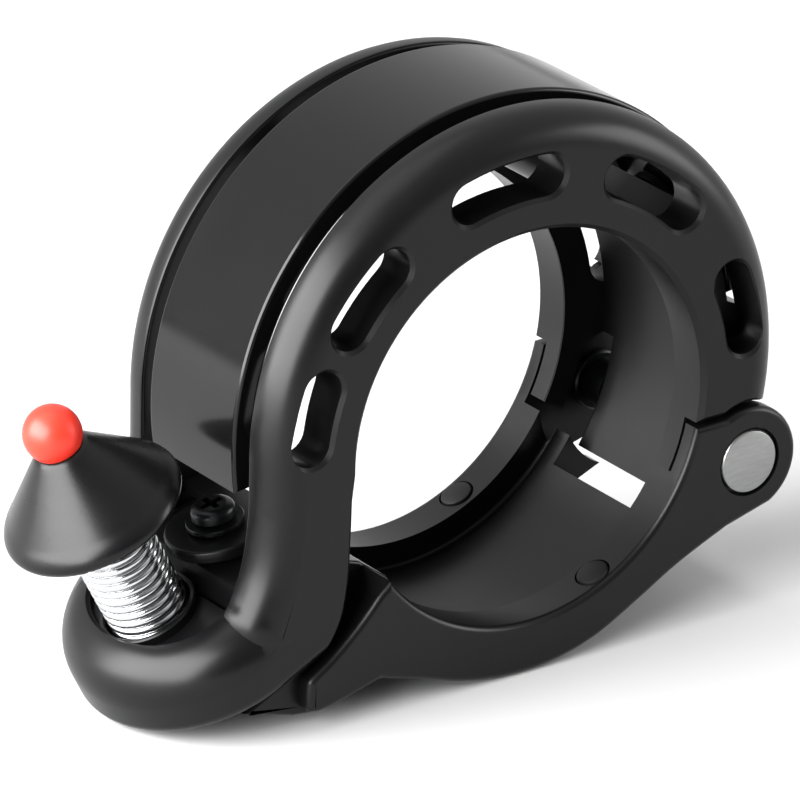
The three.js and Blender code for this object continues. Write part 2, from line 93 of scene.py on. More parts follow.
def arc(centre: Point, radius: float, start: float, stop: float, step: float = 1.5) -> Outline:
    """Points of a round stretch.

    Args:
        centre: Middle of the circle.
        radius: Its radius.
        start: First angle in degrees.
        stop: Last angle in degrees.
        step: Largest angle between two points.

    Returns:
        The points in order.
    """
    count = max(2, math.ceil(abs(stop - start) / step))
    return [polar(centre, radius, start + (stop - start) * i / count) for i in range(count + 1)]


def half_oval(centre: float, length: float, width: float, end: float) -> Outline:
    """A plan outline: half an oval at the left, and straight sides on to the right.

    Args:
        centre: Where the oval's middle lies along the seat.
        length: The oval's half length.
        width: Its half width.
        end: Where the straight sides end.

    Returns:
        Outline points.
    """
    turned_round = [math.radians(a) for a in range(90, 273, 3)]
    oval = [(centre + length * math.cos(a), width * math.sin(a)) for a in turned_round]
    return [*oval, (end, -width), (end, width)]


def spline(points: Outline, count: int) -> Outline:
    """A smooth curve through points.

    Args:
        points: Points that the curve passes.
        count: Number of steps along it.

    Returns:
        The curve's points, both ends included.
    """
    p = np.array(points, float)
    last = len(p) - 1
    out = []
    for i in range(count + 1):
        t = i / count * last
        k = min(int(t), last - 1)
        w = t - k
        a, b = p[max(k - 1, 0)], p[k]
        c, d = p[k + 1], p[min(k + 2, last)]
        v0, v1 = (c - a) / 2, (d - b) / 2
        q = (2 * b - 2 * c + v0 + v1) * w**3 + (-3 * b + 3 * c - 2 * v0 - v1) * w**2 + v0 * w + b
        out.append((float(q[0]), float(q[1])))
    return out


def inset(outline: Outline, amount: float) -> Outline:
    """An outline moved inwards, or outwards where the amount is negative.

    Args:
        outline: A closed outline.
        amount: Distance in millimetres.

    Returns:
        The moved points, as many as before.
    """
    p = np.array(outline, float)
    area = np.sum(p[:, 0] * np.roll(p[:, 1], -1) - np.roll(p[:, 0], -1) * p[:, 1])
    edge = np.roll(p, -1, axis=0) - p
    edge /= np.linalg.norm(edge, axis=1)[:, None]
    normal = np.stack([-edge[:, 1], edge[:, 0]], axis=1) * np.sign(area)
    both = normal + np.roll(normal, 1, axis=0)
    both /= np.maximum(np.linalg.norm(both, axis=1)[:, None], 1e-9)
    mitre = np.maximum(np.sum(both * normal, axis=1), 0.6)
    moved = p + both * (amount / mitre)[:, None]
    return [(float(x), float(y)) for x, y in moved]


def rounded(
    low: float, high: float, radius_low: float, radius_high: float, steps: int = 7,
) -> Outline:
    """Profile of a slab whose two rims are rounded.

    Args:
        low: Lower face.
        high: Upper face.
        radius_low: Rounding at the lower face.
        radius_high: Rounding at the upper face.
        steps: Steps in each rounding.

    Returns:
        Pairs of height and inset.
    """
    profile = []
    for i in range(steps + 1):
        a = math.pi / 2 * i / steps
        profile.append((low + radius_low * (1 - math.cos(a)), radius_low * (1 - math.sin(a))))
    for i in range(steps, -1, -1):
        a = math.pi / 2 * i / steps
        profile.append((high - radius_high * (1 - math.cos(a)), radius_high * (1 - math.sin(a))))
    return profile


def flared(half: float, flare: float, beyond: float = 1.5, steps: int = 4) -> Outline:
    """Profile of a cutter that rounds over the rims of the hole it makes.

    Args:
        half: Distance from the middle plane to each face of the plate.
        flare: Radius of the rounded rim.
        beyond: How far the cutter runs past each face.
        steps: Steps in each rounding.

    Returns:
        Pairs of height and inset; the inset is negative in the rims.
    """
    side = []
    for i in range(steps + 1):
        a = math.pi / 2 * i / steps
        side.append((half - flare * math.sin(math.pi / 2 - a), -flare * (1 - math.cos(a))))
    side[-1] = (half, -flare)
    side.append((half + beyond, -flare - 0.02))
    return [(-h, d) for h, d in reversed(side)] + side


def dome(centre: Point, radii: Point, start: float, count: int) -> Outline:
    """Part of an oval up to its top, for a rounded head.

    Args:
        centre: The oval's middle.
        radii: Its half width and half height.
        start: First angle in radians.
        count: Number of points.

    Returns:
        The points in order.
    """
    turn = np.linspace(start, math.pi / 2, count)
    return [(centre[0] + radii[0] * math.cos(a), centre[1] + radii[1] * math.sin(a)) for a in turn]


# ---- meshes ----


def stand(x: float, y: float, z: float, turn: float, axis: str = "Y") -> Matrix:
    """Millimetres to metres, a turn in radians round an axis, then a move."""
    move = Matrix.Translation((x * MM, y * MM, z * MM))
    return move @ Matrix.Rotation(turn, 4, axis) @ Matrix.Scale(MM, 4)


@dataclass(frozen=True)
class Place:
    """A local frame in the middle plane, its +Z leaning towards -X."""

    x: float
    z: float
    lean: float

    def matrix(self) -> Matrix:
        """Local millimetres to the row frame in metres."""
        return stand(self.x, 0, self.z, math.radians(-self.lean))

    def point(self, along: float, above: float) -> Point:
        """X and Z in millimetres of a local point."""
        a = math.radians(self.lean)
        return (
            self.x + along * math.cos(a) - above * math.sin(a),
            self.z + along * math.sin(a) + above * math.cos(a),
        )


def new_object(name: str, data: bpy.types.ID) -> Object:
    """A new object in the scene, at the origin."""
    obj = bpy.data.objects.new(name, data)
    bpy.context.scene.collection.objects.link(obj)
    return obj


def mesh_object(name: str, bm: bmesh.types.BMesh, matrix: Matrix) -> Object:
    """Turns a bmesh into an object at the origin with its place in its mesh."""
    bmesh.ops.recalc_face_normals(bm, faces=bm.faces)
    bm.transform(matrix)
    mesh = bpy.data.meshes.new(name)
    bm.to_mesh(mesh)
    bm.free()
    return new_object(name, mesh)


def skin(name: str, rings: list[list[Vector]], matrix: Matrix, closed_ends: bool = True) -> Object:
    """A body skinned over rings of equal length; a ring of one point is a pole.

    Args:
        name: Object name.
        rings: Rings from one end to the other.
        matrix: Millimetres to metres and place.
        closed_ends: Whether the end rings get a face; if not, the last ring meets the first.

    Returns:
        The new object.
    """
    bm = bmesh.new()
    rows = [[bm.verts.new(p) for p in ring] for ring in rings]
    pairs = list(zip(rows, rows[1:]))
    if not closed_ends:
        pairs.append((rows[-1], rows[0]))
    for low, high in pairs:
        count = max(len(low), len(high))
        for i in range(count):
            j = (i + 1) % count
            if len(low) == 1:
                bm.faces.new((low[0], high[j], high[i]))
            elif len(high) == 1:
                bm.faces.new((low[i], low[j], high[0]))
            else:
                bm.faces.new((low[i], low[j], high[j], high[i]))
    if closed_ends:
        for row in (rows[0], rows[-1]):
            if len(row) > 2:
                bm.faces.new(row)
    return mesh_object(name, bm, matrix)


def side_slab(name: str, outline: Outline, profile: Outline) -> Object:
    """A solid with a side outline (X, Z); the profile pairs Y with an inset."""
    rings = [[Vector((x, y, z)) for x, z in inset(outline, d)] for y, d in profile]
    return skin(name, rings, Matrix.Scale(MM, 4))


def plan_slab(name: str, outline: Outline, profile: Outline, place: Place) -> Object:
    """A solid with a plan outline (along, Y); the profile pairs height with an inset."""
    rings = [[Vector((s, y, h)) for s, y in inset(outline, d)] for h, d in profile]
    return skin(name, rings, place.matrix())


def turned(
    name: str, profile: Outline, matrix: Matrix, sides: int = 64, ring: bool = False,
) -> Object:
    """A body of revolution round local +Z.

    Args:
        name: Object name.
        profile: Pairs of radius and height; radius 0 is a pole.
        matrix: Millimetres to metres and place.
        sides: Number of steps round the axis.
        ring: Whether the profile closes on itself.

    Returns:
        The new object.
    """
    rings = []
    for r, h in profile:
        if r < POLE_RADIUS:
            rings.append([Vector((0, 0, h))])
            continue
        turn = [2 * math.pi * i / sides for i in range(sides)]
        rings.append([Vector((r * math.cos(a), r * math.sin(a), h)) for a in turn])
    return skin(name, rings, matrix, closed_ends=not ring)


def rod(
    name: str, radius: float, low: float, high: float, matrix: Matrix, sides: int = 48,
) -> Object:
    """A plain round rod along local +Z, used as a tool or inside other pieces."""
    return turned(name, [(0, low), (radius, low), (radius, high), (0, high)], matrix, sides)


def box(name: str, low: tuple, high: tuple, matrix: Matrix) -> Object:
    """A block between two local corners, used as a tool."""
    plan = [(low[0], low[1]), (high[0], low[1]), (high[0], high[1]), (low[0], high[1])]
    rings = [[Vector((x, y, h)) for x, y in plan] for h in (low[2], high[2])]
    return skin(name, rings, matrix)


def along_y(x: float, z: float) -> Matrix:
    """Places a local +Z axis along +Y through a point of the side view."""
    return stand(x, 0, z, -math.pi / 2, "X")


def shape(base: Object, steps: list[Step]) -> Object:
    """Runs boolean steps on an object and removes their tools.

    Args:
        base: The object that is shaped.
        steps: What to do with each tool, in order.

    Returns:
        The base object with its new mesh.
    """
    for how, tool in steps:
        step = base.modifiers.new("step", "BOOLEAN")
        step.operation = how.value
        step.solver = "MANIFOLD"
        step.object = tool
        graph = bpy.context.evaluated_depsgraph_get()
        result = bpy.data.meshes.new_from_object(base.evaluated_get(graph))
        base.modifiers.clear()
        old = base.data
        base.data = result
        bpy.data.meshes.remove(old)
        bpy.data.objects.remove(tool)
    return base


def weld(obj: Object, distance: float = 2e-6) -> Object:
    """Merges points that lie on each other and removes slivers."""
    bm = bmesh.new()
    bm.from_mesh(obj.data)
    bmesh.ops.remove_doubles(bm, verts=bm.verts, dist=distance)
    bmesh.ops.dissolve_degenerate(bm, edges=bm.edges, dist=distance)
    bm.to_mesh(obj.data)
    bm.free()
    return obj


def finish(obj: Object, material: Material, body: Body, nodes: list[str]) -> None:
    """Args:
        obj: The finished mesh object.
        material: Its material.
        body: The body it rides on.
        nodes: CAD nodes that it stands for.
    """
    obj.data.materials.clear()
    obj.data.materials.append(material)
    obj.data.shade_smooth()
    obj.data.set_sharp_from_angle(angle=SHARP_EDGE)
    even = obj.modifiers.new("even_normals", "WEIGHTED_NORMAL")
    even.keep_sharp = True
    even.weight = 80
    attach(obj, body.value)
    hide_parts(*nodes)
    LOG.info("%s: %d faces on body %s", obj.name, len(obj.data.polygons), body.value)


# ---- finishes ----


def linear(hex_colour: str) -> tuple[float, float, float, float]:
    """An sRGB hex colour as linear values with full alpha."""
    out = []
    for i in (1, 3, 5):
        v = int(hex_colour[i : i + 2], 16) / 255
        out.append(v / 12.92 if v <= 0.04045 else ((v + 0.055) / 1.055) ** 2.4)
    return out[0], out[1], out[2], 1.0


def add(
    tree: Tree, kind: str, settings: dict | None = None, **inputs: object,
) -> bpy.types.Node:
    """Adds a node with its settings, input values and links.

    Args:
        tree: The node tree.
        kind: The node's type name.
        settings: Attributes of the node, such as its operation.
        inputs: Socket names with underscores for blanks, or i0, i1 for a socket's number.
            A value that is a socket is linked, any other is set.

    Returns:
        The new node.
    """
    node = tree.nodes.new(kind)
    for key, value in (settings or {}).items():
        setattr(node, key, value)
    for key, value in inputs.items():
        number = key[1:] if key[0] == "i" and key[1:].isdigit() else None
        socket = node.inputs[int(number)] if number else node.inputs[key.replace("_", " ")]
        if isinstance(value, bpy.types.NodeSocket):
            tree.links.new(value, socket)
        else:
            socket.default_value = value
    return node


@dataclass(frozen=True)
class Finish:
    """A surface finish: two close tones, a roughness that varies, and a fine relief."""

    name: str
    tone: str
    second_tone: str
    roughness: float
    roughness_swing: float
    mottle_mm: float
    grain_mm: float
    grain_height_mm: float
    metallic: float = 0.0
    specular: float = 0.5
    stretch: tuple[float, float, float] = (1.0, 1.0, 1.0)

    def material(self) -> Material:
        """Builds the node material.

        Returns:
            The material, on Object coordinates.
        """
        made = bpy.data.materials.new(self.name)
        made.use_nodes = True
        tree = made.node_tree
        tree.nodes.clear()
        where = add(tree, "ShaderNodeTexCoord").outputs["Object"]
        placed = add(tree, "ShaderNodeMapping", Vector=where, Scale=self.stretch).outputs["Vector"]
        mottle = add(
            tree, "ShaderNodeTexNoise", Vector=placed, Scale=1 / (self.mottle_mm * MM),
            Detail=3.0, Roughness=0.55,
        )
        grain = add(
            tree, "ShaderNodeTexNoise", Vector=placed, Scale=1 / (self.grain_mm * MM),
            Detail=2.0, Roughness=0.6,
        )
        tones = add(
            tree, "ShaderNodeMix", {"data_type": "RGBA"},
            i0=mottle.outputs["Fac"], i6=linear(self.tone), i7=linear(self.second_tone),
        )
        rough = add(
            tree, "ShaderNodeMapRange", Value=mottle.outputs["Fac"], From_Min=0.3, From_Max=0.7,
            To_Min=self.roughness - self.roughness_swing,
            To_Max=self.roughness + self.roughness_swing,
        )
        relief = add(
            tree, "ShaderNodeBump", Height=grain.outputs["Fac"], Strength=1.0,
            Distance=self.grain_height_mm * MM,
        )
        shader = add(
            tree, "ShaderNodeBsdfPrincipled", Base_Color=tones.outputs[2],
            Roughness=rough.outputs[0], Normal=relief.outputs["Normal"],
            Metallic=self.metallic, IOR=PLASTIC_IOR, Specular_IOR_Level=self.specular,
        )
        add(tree, "ShaderNodeOutputMaterial", Surface=shader.outputs[0])
        return made


# Glass-filled nylon moulded in a spark-eroded tool: a satin black with a very fine grain.
MOULDED_NYLON = Finish(
    "moulded_nylon", "#070708", "#0a0a0b", 0.32, 0.03, 6.0, 0.16, 0.0012, specular=0.22,
)
# The same nylon on the small turned-looking cone, a little duller.
CONE_NYLON = Finish(
    "cone_nylon", "#080809", "#0b0b0c", 0.27, 0.03, 4.0, 0.14, 0.0015, specular=0.24,
)
# Black lacquer over the metal band: glossy, with a faint orange peel.
GLOSS_LACQUER = Finish(
    "gloss_lacquer", "#060607", "#080808", 0.15, 0.02, 8.0, 1.6, 0.0012, specular=0.25,
)
# Black-oxide steel: dark, with a metal's sharp lights.
BLACK_OXIDE = Finish(
    "black_oxide_steel", "#1b1c1d", "#272829", 0.32, 0.05, 1.5, 0.12, 0.0015, metallic=0.85,
)
# Nickel-plated spring wire: bright, with faint drawing marks.
PLATED_WIRE = Finish(
    "nickel_plated_wire", "#d6d7d8", "#bfc0c2", 0.16, 0.05, 1.2, 0.25, 0.0008, metallic=1.0,
)
# Turned steel with a brushed face.
TURNED_STEEL = Finish(
    "turned_steel", "#9c9d9c", "#868786", 0.34, 0.06, 1.2, 0.09, 0.0012, metallic=1.0,
    stretch=(1.0, 1.0, 4.0),
)
# Rubber of the plugs and the grommet.
PLUG_RUBBER = Finish("plug_rubber", "#0b0b0b", "#101010", 0.55, 0.05, 1.0, 0.2, 0.003, specular=0.2)
# Red acetal of the striker's ball, moulded glossy.
RED_ACETAL = Finish("red_acetal", "#dc2f1e", "#d2291a", 0.40, 0.03, 1.5, 0.5, 0.001, specular=0.4)


# ---- sizes shared by the sub-assemblies ----


@dataclass(frozen=True)
class BellSizes:
    """Driving sizes of the bell in millimetres, the same as the solids'."""

    half_width: float = 11.05
    cheek_inner: float = 7.4
    bore: float = 16.0
    ring_centre: Point = (0.16, 1.57)
    cheek_radius: float = 23.6
    band_radius: float = 23.9
    pin: Point = (20.6, -7.7)
    pin_head: float = 2.6
    ear_radius: float = 4.5
    sweep_radius: float = 45.2
    boss_ring: float = 19.9
    seat: Place = Place(-27.95, -11.6, 26.7)
    tab: Place = Place(-21.56, -6.5, 13)
    pillars: tuple[float, float] = (116.5, 76.0)

    def cover_screws(self) -> list[Point]:
        """X and Z of the rear cover's screws."""
        pillars = [polar((0, 0), self.boss_ring, a) for a in self.pillars]
        return [(21.9, 0.1), self.seat.point(1.2, -3.2), *pillars]


SIZES = BellSizes()


# ---- sub-assemblies ----


@dataclass
class Frame:
    """The moulded frame: slotted cheeks, foot bowl, hinge block and screw tab."""

    edge: float = 3.0
    bore_rim: float = 0.4
    slot_rim: float = 0.3
    slots: tuple[Point, ...] = ((164.7, 5.9), (136.6, 7.6), (96.2, 9.8), (56, 9.7), (15.4, 6.7))
    slot_radius: float = 20.35
    slot_width: float = 3.4
    foot_centre: float = 2.7
    foot_length: float = 9.92
    foot_bottom: float = -6.2
    foot_rounding: float = 3.9
    rim: float = 0.3
    floor: float = -0.9
    dish_centre: float = 1.5
    dish_length: float = 5.1
    dish_width: float = 7.05
    collar_inner: float = 3.5
    collar_outer: float = 3.95
    lip: float = -3.35
    block_half: float = 6.1
    bridge_half: float = 7.45
    block_end: float = -34.5
    pillar_radius: float = 2.0
    tab_half: float = 4.1
    tab_reach: float = 4.4
    seam_front: float = 7.37
    seam_rear: float = 7.43

    def cheek_outline(self) -> Outline:
        """Side outline of a cheek down to the middle of the foot."""
        return [
            *arc(SIZES.ring_centre, SIZES.cheek_radius, -14, 180),
            *spline([(-23.52, -2), (-23.9, -5), (-24.45, -7.2), (-25.35, -9.3)], 14),
            *arc((-22.75, -11.33), 3.3, 146, 262, 8),
            (-19.2, -14.6), (-10, -12), (10, -12), (22, -10),
        ]

    def bore_side(self) -> Outline:
        """Side outline of everything on the bore's side of a cheek."""
        start = math.degrees(math.asin(self.lip / SIZES.bore))
        return [
            *arc((0, 0), SIZES.bore, start, 180),
            *spline([
                (-16.3, -2), (-16.45, -5), (-16.7, -8.5), (-17.4, -11.6), (-18.9, -13.9),
                (-21, -15.4), (-24, -17.4),
            ], 30),
            (-24, -32), (32, -32), (32, self.lip),
            *arc(SIZES.pin, SIZES.ear_radius + 0.45, 60, 118, 3),
        ]

    def sweep(self) -> Outline:
        """Side outline of the room the arm's end swings through, between the cheeks."""
        return [(-12, 0), *arc(SIZES.pin, SIZES.sweep_radius, 172, 200), (-12, -30)]

    def slot_outline(self, middle: float, half: float) -> Outline:
        """A curved slot with round ends."""
        width = self.slot_width / 2
        low = polar((0, 0), self.slot_radius, middle - half)
        high = polar((0, 0), self.slot_radius, middle + half)
        return [
            *arc((0, 0), self.slot_radius + width, middle - half, middle + half, 2),
            *arc(high, width, middle + half, middle + half + 180, 12)[1:-1],
            *arc((0, 0), self.slot_radius - width, middle + half, middle - half, 2),
            *arc(low, width, middle - half + 180, middle - half + 360, 12)[1:-1],
        ]

    def cheek(self, side: int) -> Object:
        """One cheek's blank; side is -1 in front and 1 at the rear."""
        face = rounded(-SIZES.half_width, -SIZES.cheek_inner + 0.1, self.edge, 0.3, 9)
        profile = [(side * -y, d) for y, d in face]
        return side_slab(f"cheek_{side}", self.cheek_outline(), profile)

    def foot(self) -> Object:
        """The foot's blank: round in plan, with a bowl-shaped underside."""
        plan = half_oval(self.foot_centre, self.foot_length, SIZES.half_width - 0.02, 14)
        profile = rounded(self.foot_bottom, self.rim, 1.0, self.foot_rounding, 14)
        return plan_slab("foot", plan, profile, SIZES.seat)

    def dish(self) -> Object:
        """Cutter of the dish, with a rounded rim."""
        plan = half_oval(self.dish_centre, self.dish_length, self.dish_width, 12)
        corner = ((0, 0.7), (0.08, 0.35), (0.3, 0.08), (0.6, 0.0))
        profile = [(self.floor + h, d) for h, d in corner]
        for i in range(6):
            a = math.pi / 2 * i / 5
            spread = -0.33 * (1 - math.cos(a)) - 0.01 * i
            profile.append((self.rim + 0.03 - 0.35 * math.cos(a), spread))
        profile += [(self.rim + 0.06, 0.0), (30, 0.0)]
        return plan_slab("dish", plan, profile, SIZES.seat)

    def block(self) -> list[Object]:
        """The hinge block between the cheeks and its wide upper bridge."""
        outer = [*arc(SIZES.ring_centre, 20.9, 33, 8), *arc(SIZES.ring_centre, 23.0, 4.6, -10)]
        body = [
            *arc((0, 0), SIZES.boss_ring, self.block_end, 34),
            *outer,
            *arc(SIZES.pin, 4.1, 40, -118, 5),
            polar((0, 0), 21.2, self.block_end),
        ]
        bridge = [*arc((0, 0), SIZES.boss_ring, -8, 34), *outer]
        half, wide = self.block_half, self.bridge_half
        return [
            side_slab("block", body, rounded(-half, half, 0.3, 0.3, 3)),
            side_slab("bridge", bridge, [(-wide, 0), (wide, 0)]),
        ]

    def tongue(self, side: int) -> Object:
        """The thin lap beside the arm's ear that carries the bore's lip on."""
        outline = [*arc((0, 0), SIZES.bore, -28, -8), *arc((0, 0), 18, -8, -28)]
        return side_slab(f"tongue_{side}", outline, [(side * 7.3, 0), (side * 9.2, 0)])

    def screw_tab(self) -> list[Object]:
        """The tab under the clamp screw's head with its wings."""
        half, reach, wide = self.tab_half, self.tab_reach, self.bridge_half
        plan = [*arc((0, 0), half, 90, 270, 5), (reach, -half), (reach, half)]
        return [
            plan_slab("tab", plan, rounded(-1, 0, 0.15, 0.2, 3), SIZES.tab),
            box("wings", (1.9, -wide, -1), (reach, wide, 0), SIZES.tab.matrix()),
        ]

    def build(self) -> tuple[Object, Object]:
        """Makes the front frame and the rear cover.

        Returns:
            The two objects.
        """
        seat, tab = SIZES.seat.matrix(), SIZES.tab.matrix()
        hole, outside, inner = self.collar_inner, self.collar_outer, SIZES.cheek_inner
        collar = [
            (hole, -1.3), (outside, -1.3), (outside, -0.2), (3.85, -0.1), (3.6, -0.1), (hole, -0.2),
        ]
        steps = [
            (Cut.ADD, self.cheek(-1)),
            (Cut.ADD, self.cheek(1)),
            (Cut.REMOVE, self.dish()),
            (Cut.ADD, turned("collar", collar, seat, 72, ring=True)),
            (Cut.REMOVE, rod("socket", hole, -2.4, 5, seat, 72)),
            (Cut.REMOVE, side_slab("sweep", self.sweep(), [(-inner, 0), (inner, 0)])),
            (Cut.REMOVE, side_slab(
                "bore_side", self.bore_side(), flared(SIZES.half_width, self.bore_rim),
            )),
        ]
        through = flared(SIZES.half_width, self.slot_rim)
        for middle, half in self.slots:
            steps.append((Cut.REMOVE, side_slab("slot", self.slot_outline(middle, half), through)))
        steps += [(Cut.ADD, piece) for piece in (*self.block(), *self.screw_tab())]
        steps += [(Cut.ADD, self.tongue(side)) for side in (-1, 1)]
        wide = self.bridge_half
        for angle in SIZES.pillars:
            place = along_y(*polar((0, 0), SIZES.boss_ring, angle))
            steps.append((Cut.ADD, rod("pillar", self.pillar_radius, -wide, wide, place, 32)))
        steps += [
            (Cut.REMOVE, rod("screw_hole", 1.5, -5, 5, tab)),
            (Cut.REMOVE, rod("pin_hole", 1.4, -8, 8, along_y(*SIZES.pin))),
            (Cut.REMOVE, rod("stud_hole", 1.2, -20, 0, seat)),
            (Cut.REMOVE, rod("head_hole", 2.3, -20, -5, seat)),
        ]
        whole = shape(self.foot(), steps)
        rear = new_object("rear_cover_shell", whole.data.copy())
        whole.name = "front_frame_shell"
        to_metres = Matrix.Scale(MM, 4)
        behind = box("rear_half", (-60, self.seam_front, -60), (60, 30, 60), to_metres)
        ahead = box("front_half", (-60, -30, -60), (60, self.seam_rear, 60), to_metres)
        profile = [
            (0, 7), (1.15, 7), (1.15, 9.65), (1.85, 9.65), (1.85, 10.9), (2.0, 11.06),
            (2.0, 14), (0, 14),
        ]
        holes = [
            (Cut.REMOVE, turned("counterbore", profile, along_y(x, z), 40))
            for x, z in SIZES.cover_screws()
        ]
        shape(whole, [(Cut.REMOVE, behind)])
        shape(rear, [(Cut.REMOVE, ahead), *holes])
        return weld(whole), weld(rear)

    def dress(self, material: Material) -> None:
        """Builds and dresses both mouldings."""
        front, rear = self.build()
        finish(front, material, Body.FRAME, ["front_frame"])
        finish(rear, material, Body.FRAME, ["rear_cover"])


@dataclass
class SoundingBand:
    """The C-shaped metal band with its hidden screw and grommet."""

    start: float = 7.0
    stop: float = 187.3
    wall: float = 1.8
    half_width: float = 5.8
    edge: float = 0.32
    fixing: float = 24.0

    def fixing_matrix(self) -> Matrix:
        """Local +Z outwards through the band's fixing hole."""
        x, z = SIZES.ring_centre
        return stand(x, 0, z, math.pi / 2 - math.radians(self.fixing))

    def build(self) -> Object:
        """The band with its rims rounded over."""
        inner = SIZES.band_radius - self.wall
        outline = [
            *arc(SIZES.ring_centre, SIZES.band_radius, self.start, self.stop, 1),
            *arc(SIZES.ring_centre, inner, self.stop, self.start, 1),
        ]
        profile = rounded(-self.half_width, self.half_width, self.edge, self.edge, 5)
        band = side_slab("sounding_band", outline, profile)
        return shape(band, [(Cut.REMOVE, rod("fixing_hole", 1.6, 15, 30, self.fixing_matrix()))])

    def build_screw(self) -> Object:
        """Round-headed screw with a straight slot."""
        head = [(0, 20.1), (1, 20.1), (1, 24.1), (2.2, 24.1)]
        head += [*dome((0, 24.3), (2.2, 0.8), 0, 9)[:-1], (0, 25.1)]
        screw = turned("band_fixing_screw", head, self.fixing_matrix(), 48)
        slot = box("slot", (-0.3, -3, 24.65), (0.3, 3, 26), self.fixing_matrix())
        return shape(screw, [(Cut.REMOVE, slot)])

    def build_grommet(self) -> Object:
        """Rubber ring between the hinge block and the band."""
        profile = [(1.4, 21.1), (2.9, 21.1), (3.0, 21.2), (3.0, 21.7), (2.9, 21.8), (1.4, 21.8)]
        return turned("band_rubber_ring", profile, self.fixing_matrix(), 40, ring=True)

    def dress(self, lacquer: Material, oxide: Material, rubber: Material) -> None:
        """Builds and dresses the band, its screw and its grommet."""
        finish(self.build(), lacquer, Body.FRAME, ["bell_band"])
        finish(self.build_screw(), oxide, Body.FRAME, ["band_screw"])
        finish(self.build_grommet(), rubber, Body.FRAME, ["band_grommet"])


@dataclass
class Hinge:
    """The pin with its two flat ends and the flanged spacers on it."""

    pin_radius: float = 1.2
    head_thickness: float = 0.6

    def build_pin(self) -> list[Object]:
        """The pin with its front head, and its rear cap."""
        face, r = SIZES.half_width, SIZES.pin_head
        back = face - self.head_thickness
        centre = along_y(*SIZES.pin)
        rim = [(0, face), (r - 0.28, face), (r - 0.1, face - 0.06), (r, face - 0.2), (r, back)]
        shank, end = self.pin_radius, back - 0.2
        front = [*[(d, -y) for d, y in rim], (shank, -back), (shank, end), (0, end)]
        rear = [(0, back), *reversed(rim)]
        return [
            turned("hinge_pin_body", front, centre, 96),
            turned("hinge_pin_rear_cap", rear, centre, 96),
        ]

    def build_spacer(self, side: int) -> Object:
        """A flanged spacer; side is -1 in front and 1 at the rear."""
        profile = [
            (1.4, 6.3), (1.95, 6.3), (1.95, 8.7), (2.3, 8.7), (2.45, 8.82), (2.45, 9.15),
            (2.35, 9.25), (1.4, 9.25),
        ]
        placed = [(r, side * y) for r, y in profile]
        name = "hinge_spacer_front_ring" if side < 0 else "hinge_spacer_rear_ring"
        return turned(name, placed, along_y(*SIZES.pin), 64, ring=True)

    def dress(self, steel: Material, oxide: Material) -> None:
        """Builds and dresses the pin, its cap and the spacers."""
        pin, cap = self.build_pin()
        finish(pin, steel, Body.FRAME, ["hinge_pin"])
        finish(cap, steel, Body.FRAME, ["hinge_pin_cap"])
        finish(self.build_spacer(-1), oxide, Body.FRAME, ["hinge_spacer_front"])
        finish(self.build_spacer(1), oxide, Body.FRAME, ["hinge_spacer_rear"])


